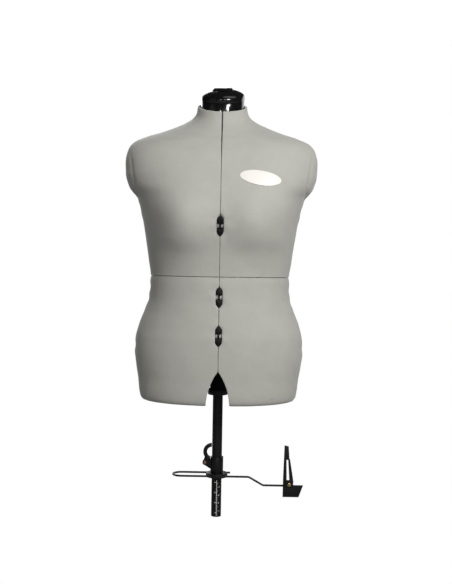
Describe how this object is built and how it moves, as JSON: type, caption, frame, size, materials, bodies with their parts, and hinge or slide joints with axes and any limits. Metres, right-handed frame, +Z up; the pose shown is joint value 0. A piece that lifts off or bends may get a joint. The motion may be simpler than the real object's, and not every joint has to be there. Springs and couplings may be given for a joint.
{
  "type": "adjustable dress form",
  "caption": "Cloth-covered torso in quarter panels that spread on thumbwheel screws, with a rising column, neck cap and a sliding hem marker on its pole.",
  "frame": {"origin": "centre of the pole's lower end, where it goes into a stand", "axes": "+Z up along the pole, the figure faces -Y, +X is the wearer's left"},
  "size_m": [0.472, 0.3357, 1.0745],
  "materials": {
    "knit_cover": "grey jersey on foam",
    "panel_shell": "moulded",
    "fittings": "moulded",
    "black_plastic": "satin",
    "gloss_black": "polished moulding",
    "white_nylon": "moulded",
    "black_steel": "satin enamel",
    "bright_steel": "plated",
    "black_wire": "coated",
    "dark_sheet": "satin",
    "copper_rivet": "copper plated",
    "brass_rivet": "bright",
    "badge_white": "printed plate, blank"
  },
  "bodies": {
    "stand": {"pole": "black_steel", "body_hub": "black_plastic"},
    "upper_core": {"inner_pole": "bright_steel", "neck_plate": "fittings", "neck_band": "gloss_black", "neck_cap": "gloss_black"},
    "neck_knob": {"neck_knob": "gloss_black"},
    "upper_left_carrier": {"upper_left_cages": "black_plastic"},
    "upper_right_carrier": {"upper_right_cages": "black_plastic"},
    "upper_front_carrier": {"upper_front_cages": "black_plastic"},
    "upper_back_carrier": {"upper_back_cages": "black_plastic"},
    "upper_front_left": {"upper_front_left_shell": "panel_shell", "upper_front_left_cover": "knit_cover", "upper_front_left_fittings": "fittings", "badge": "badge_white"},
    "upper_front_right": {"upper_front_right_shell": "panel_shell", "upper_front_right_cover": "knit_cover", "upper_front_right_fittings": "fittings"},
    "upper_back_left": {"upper_back_left_shell": "panel_shell", "upper_back_left_cover": "knit_cover", "upper_back_left_fittings": "fittings"},
    "upper_back_right": {"upper_back_right_shell": "panel_shell", "upper_back_right_cover": "knit_cover", "upper_back_right_fittings": "fittings"},
    "bust_front_screw": {"bust_front_screw": "white_nylon"},
    "bust_back_screw": {"bust_back_screw": "white_nylon"},
    "bust_left_screw": {"bust_left_screw": "white_nylon"},
    "bust_right_screw": {"bust_right_screw": "white_nylon"},
    "lower_left_carrier": {"lower_left_cages": "black_plastic"},
    "lower_right_carrier": {"lower_right_cages": "black_plastic"},
    "lower_front_carrier": {"lower_front_cages": "black_plastic"},
    "lower_back_carrier": {"lower_back_cages": "black_plastic"},
    "lower_front_left": {"lower_front_left_shell": "panel_shell", "lower_front_left_cover": "knit_cover", "lower_front_left_fittings": "fittings"},
    "lower_front_right": {"lower_front_right_shell": "panel_shell", "lower_front_right_cover": "knit_cover", "lower_front_right_fittings": "fittings"},
    "lower_back_left": {"lower_back_left_shell": "panel_shell", "lower_back_left_cover": "knit_cover", "lower_back_left_fittings": "fittings"},
    "lower_back_right": {"lower_back_right_shell": "panel_shell", "lower_back_right_cover": "knit_cover", "lower_back_right_fittings": "fittings"},
    "waist_front_screw": {"waist_front_screw": "white_nylon"},
    "waist_back_screw": {"waist_back_screw": "white_nylon"},
    "waist_left_screw": {"waist_left_screw": "white_nylon"},
    "waist_right_screw": {"waist_right_screw": "white_nylon"},
    "hip_front_screw": {"hip_front_screw": "white_nylon"},
    "hip_back_screw": {"hip_back_screw": "white_nylon"},
    "hip_left_screw": {"hip_left_screw": "white_nylon"},
    "hip_right_screw": {"hip_right_screw": "white_nylon"},
    "hem_collar": {"clamp_collar": "black_steel", "lever_rivet": "copper_rivet"},
    "cam_lever": {"cam_lever": "black_steel"},
    "swivel_ring": {"swivel_ring": "black_plastic"},
    "marker_arm": {"marker_arm": "black_wire", "marker_plate": "dark_sheet", "blade_rivet": "brass_rivet"},
    "marker_blade": {"marker_blade": "dark_sheet"}
  },
  "joints": [
    {"name": "waist_length", "type": "slide", "parent": "stand", "child": "upper_core", "axis": [0, 0, 1], "range_m": [0, 0.04]},
    {"name": "neck_knob_turn", "type": "hinge", "parent": "upper_core", "child": "neck_knob", "pos_m": [0, 0, 1.0415], "axis": [0, -0.347, 0.9379], "range_deg": [0, 720]},
    {"name": "upper_width", "type": "slide", "parent": "upper_core", "child": "upper_left_carrier", "axis": [1, 0, 0], "range_m": [0, 0.02]},
    {"name": "upper_right_slide", "type": "slide", "parent": "upper_core", "child": "upper_right_carrier", "axis": [-1, 0, 0], "range_m": [0, 0.02]},
    {"name": "upper_front_cages_slide", "type": "slide", "parent": "upper_core", "child": "upper_front_carrier", "axis": [0, -1, 0], "range_m": [0, 0.02]},
    {"name": "upper_back_cages_slide", "type": "slide", "parent": "upper_core", "child": "upper_back_carrier", "axis": [0, 1, 0], "range_m": [0, 0.02]},
    {"name": "upper_depth", "type": "slide", "parent": "upper_left_carrier", "child": "upper_front_left", "axis": [0, -1, 0], "range_m": [0, 0.02]},
    {"name": "upper_front_right_slide", "type": "slide", "parent": "upper_right_carrier", "child": "upper_front_right", "axis": [0, -1, 0], "range_m": [0, 0.02]},
    {"name": "upper_back_left_slide", "type": "slide", "parent": "upper_left_carrier", "child": "upper_back_left", "axis": [0, 1, 0], "range_m": [0, 0.02]},
    {"name": "upper_back_right_slide", "type": "slide", "parent": "upper_right_carrier", "child": "upper_back_right", "axis": [0, 1, 0], "range_m": [0, 0.02]},
    {"name": "bust_front_wheel", "type": "hinge", "parent": "upper_front_carrier", "child": "bust_front_screw", "pos_m": [0, -0.14848, 0.7235], "axis": [1, 0, 0], "range_deg": [0, 1441]},
    {"name": "bust_back_wheel", "type": "hinge", "parent": "upper_back_carrier", "child": "bust_back_screw", "pos_m": [0, 0.10868, 0.7235], "axis": [1, 0, 0], "range_deg": [0, 1441]},
    {"name": "bust_left_wheel", "type": "hinge", "parent": "upper_left_carrier", "child": "bust_left_screw", "pos_m": [0.17962, 0, 0.757], "axis": [0, 1, 0], "range_deg": [0, 1441]},
    {"name": "bust_right_wheel", "type": "hinge", "parent": "upper_right_carrier", "child": "bust_right_screw", "pos_m": [-0.17962, 0, 0.757], "axis": [0, 1, 0], "range_deg": [0, 1441]},
    {"name": "lower_width", "type": "slide", "parent": "stand", "child": "lower_left_carrier", "axis": [1, 0, 0], "range_m": [0, 0.02]},
    {"name": "lower_right_slide", "type": "slide", "parent": "stand", "child": "lower_right_carrier", "axis": [-1, 0, 0], "range_m": [0, 0.02]},
    {"name": "lower_front_cages_slide", "type": "slide", "parent": "stand", "child": "lower_front_carrier", "axis": [0, -1, 0], "range_m": [0, 0.02]},
    {"name": "lower_back_cages_slide", "type": "slide", "parent": "stand", "child": "lower_back_carrier", "axis": [0, 1, 0], "range_m": [0, 0.02]},
    {"name": "lower_depth", "type": "slide", "parent": "lower_left_carrier", "child": "lower_front_left", "axis": [0, -1, 0], "range_m": [0, 0.02]},
    {"name": "lower_front_right_slide", "type": "slide", "parent": "lower_right_carrier", "child": "lower_front_right", "axis": [0, -1, 0], "range_m": [0, 0.02]},
    {"name": "lower_back_left_slide", "type": "slide", "parent": "lower_left_carrier", "child": "lower_back_left", "axis": [0, 1, 0], "range_m": [0, 0.02]},
    {"name": "lower_back_right_slide", "type": "slide", "parent": "lower_right_carrier", "child": "lower_back_right", "axis": [0, 1, 0], "range_m": [0, 0.02]},
    {"name": "waist_front_wheel", "type": "hinge", "parent": "lower_front_carrier", "child": "waist_front_screw", "pos_m": [0, -0.11779, 0.5545], "axis": [1, 0, 0], "range_deg": [0, 1441]},
    {"name": "waist_back_wheel", "type": "hinge", "parent": "lower_back_carrier", "child": "waist_back_screw", "pos_m": [0, 0.09801, 0.5545], "axis": [1, 0, 0], "range_deg": [0, 1441]},
    {"name": "waist_left_wheel", "type": "hinge", "parent": "lower_left_carrier", "child": "waist_left_screw", "pos_m": [0.15674, 0, 0.562], "axis": [0, 1, 0], "range_deg": [0, 1441]},
    {"name": "waist_right_wheel", "type": "hinge", "parent": "lower_right_carrier", "child": "waist_right_screw", "pos_m": [-0.15674, 0, 0.562], "axis": [0, 1, 0], "range_deg": [0, 1441]},
    {"name": "hip_front_wheel", "type": "hinge", "parent": "lower_front_carrier", "child": "hip_front_screw", "pos_m": [0, -0.12689, 0.4635], "axis": [1, 0, 0], "range_deg": [0, 1441]},
    {"name": "hip_back_wheel", "type": "hinge", "parent": "lower_back_carrier", "child": "hip_back_screw", "pos_m": [0, 0.12949, 0.4635], "axis": [1, 0, 0], "range_deg": [0, 1441]},
    {"name": "hip_left_wheel", "type": "hinge", "parent": "lower_left_carrier", "child": "hip_left_screw", "pos_m": [0.19128, 0, 0.424], "axis": [0, 1, 0], "range_deg": [0, 1441]},
    {"name": "hip_right_wheel", "type": "hinge", "parent": "lower_right_carrier", "child": "hip_right_screw", "pos_m": [-0.19128, 0, 0.424], "axis": [0, 1, 0], "range_deg": [0, 1441]},
    {"name": "collar_height", "type": "slide", "parent": "stand", "child": "hem_collar", "axis": [0, 0, 1], "range_m": [-0.04, 0.105]},
    {"name": "cam_lever_turn", "type": "hinge", "parent": "hem_collar", "child": "cam_lever", "pos_m": [-0.03, 0, 0.135], "axis": [0, -1, 0], "range_deg": [0, 100]},
    {"name": "marker_swing", "type": "hinge", "parent": "hem_collar", "child": "swivel_ring", "pos_m": [0, 0, 0.1045], "axis": [0, 0, 1], "continuous": true},
    {"name": "marker_reach", "type": "slide", "parent": "swivel_ring", "child": "marker_arm", "axis": [1, 0, 0], "range_m": [0, 0.06]},
    {"name": "blade_turn", "type": "hinge", "parent": "marker_arm", "child": "marker_blade", "pos_m": [0.181, -0.0258, 0.088], "axis": [0, 1, 0], "range_deg": [0, 75]}
  ],
  "couplings": [
    {"joint": "upper_right_slide", "follows": "upper_width", "ratio": 1},
    {"joint": "upper_front_cages_slide", "follows": "upper_depth", "ratio": 1},
    {"joint": "upper_back_cages_slide", "follows": "upper_depth", "ratio": 1},
    {"joint": "upper_front_right_slide", "follows": "upper_depth", "ratio": 1},
    {"joint": "upper_back_left_slide", "follows": "upper_depth", "ratio": 1},
    {"joint": "upper_back_right_slide", "follows": "upper_depth", "ratio": 1},
    {"joint": "bust_front_wheel", "follows": "upper_width", "rad_per_m": 1256.6},
    {"joint": "bust_back_wheel", "follows": "upper_width", "rad_per_m": 1256.6},
    {"joint": "bust_left_wheel", "follows": "upper_depth", "rad_per_m": 1256.6},
    {"joint": "bust_right_wheel", "follows": "upper_depth", "rad_per_m": 1256.6},
    {"joint": "lower_right_slide", "follows": "lower_width", "ratio": 1},
    {"joint": "lower_front_cages_slide", "follows": "lower_depth", "ratio": 1},
    {"joint": "lower_back_cages_slide", "follows": "lower_depth", "ratio": 1},
    {"joint": "lower_front_right_slide", "follows": "lower_depth", "ratio": 1},
    {"joint": "lower_back_left_slide", "follows": "lower_depth", "ratio": 1},
    {"joint": "lower_back_right_slide", "follows": "lower_depth", "ratio": 1},
    {"joint": "waist_front_wheel", "follows": "lower_width", "rad_per_m": 1256.6},
    {"joint": "waist_back_wheel", "follows": "lower_width", "rad_per_m": 1256.6},
    {"joint": "waist_left_wheel", "follows": "lower_depth", "rad_per_m": 1256.6},
    {"joint": "waist_right_wheel", "follows": "lower_depth", "rad_per_m": 1256.6},
    {"joint": "hip_front_wheel", "follows": "lower_width", "rad_per_m": 1256.6},
    {"joint": "hip_back_wheel", "follows": "lower_width", "rad_per_m": 1256.6},
    {"joint": "hip_left_wheel", "follows": "lower_depth", "rad_per_m": 1256.6},
    {"joint": "hip_right_wheel", "follows": "lower_depth", "rad_per_m": 1256.6}
  ]
}
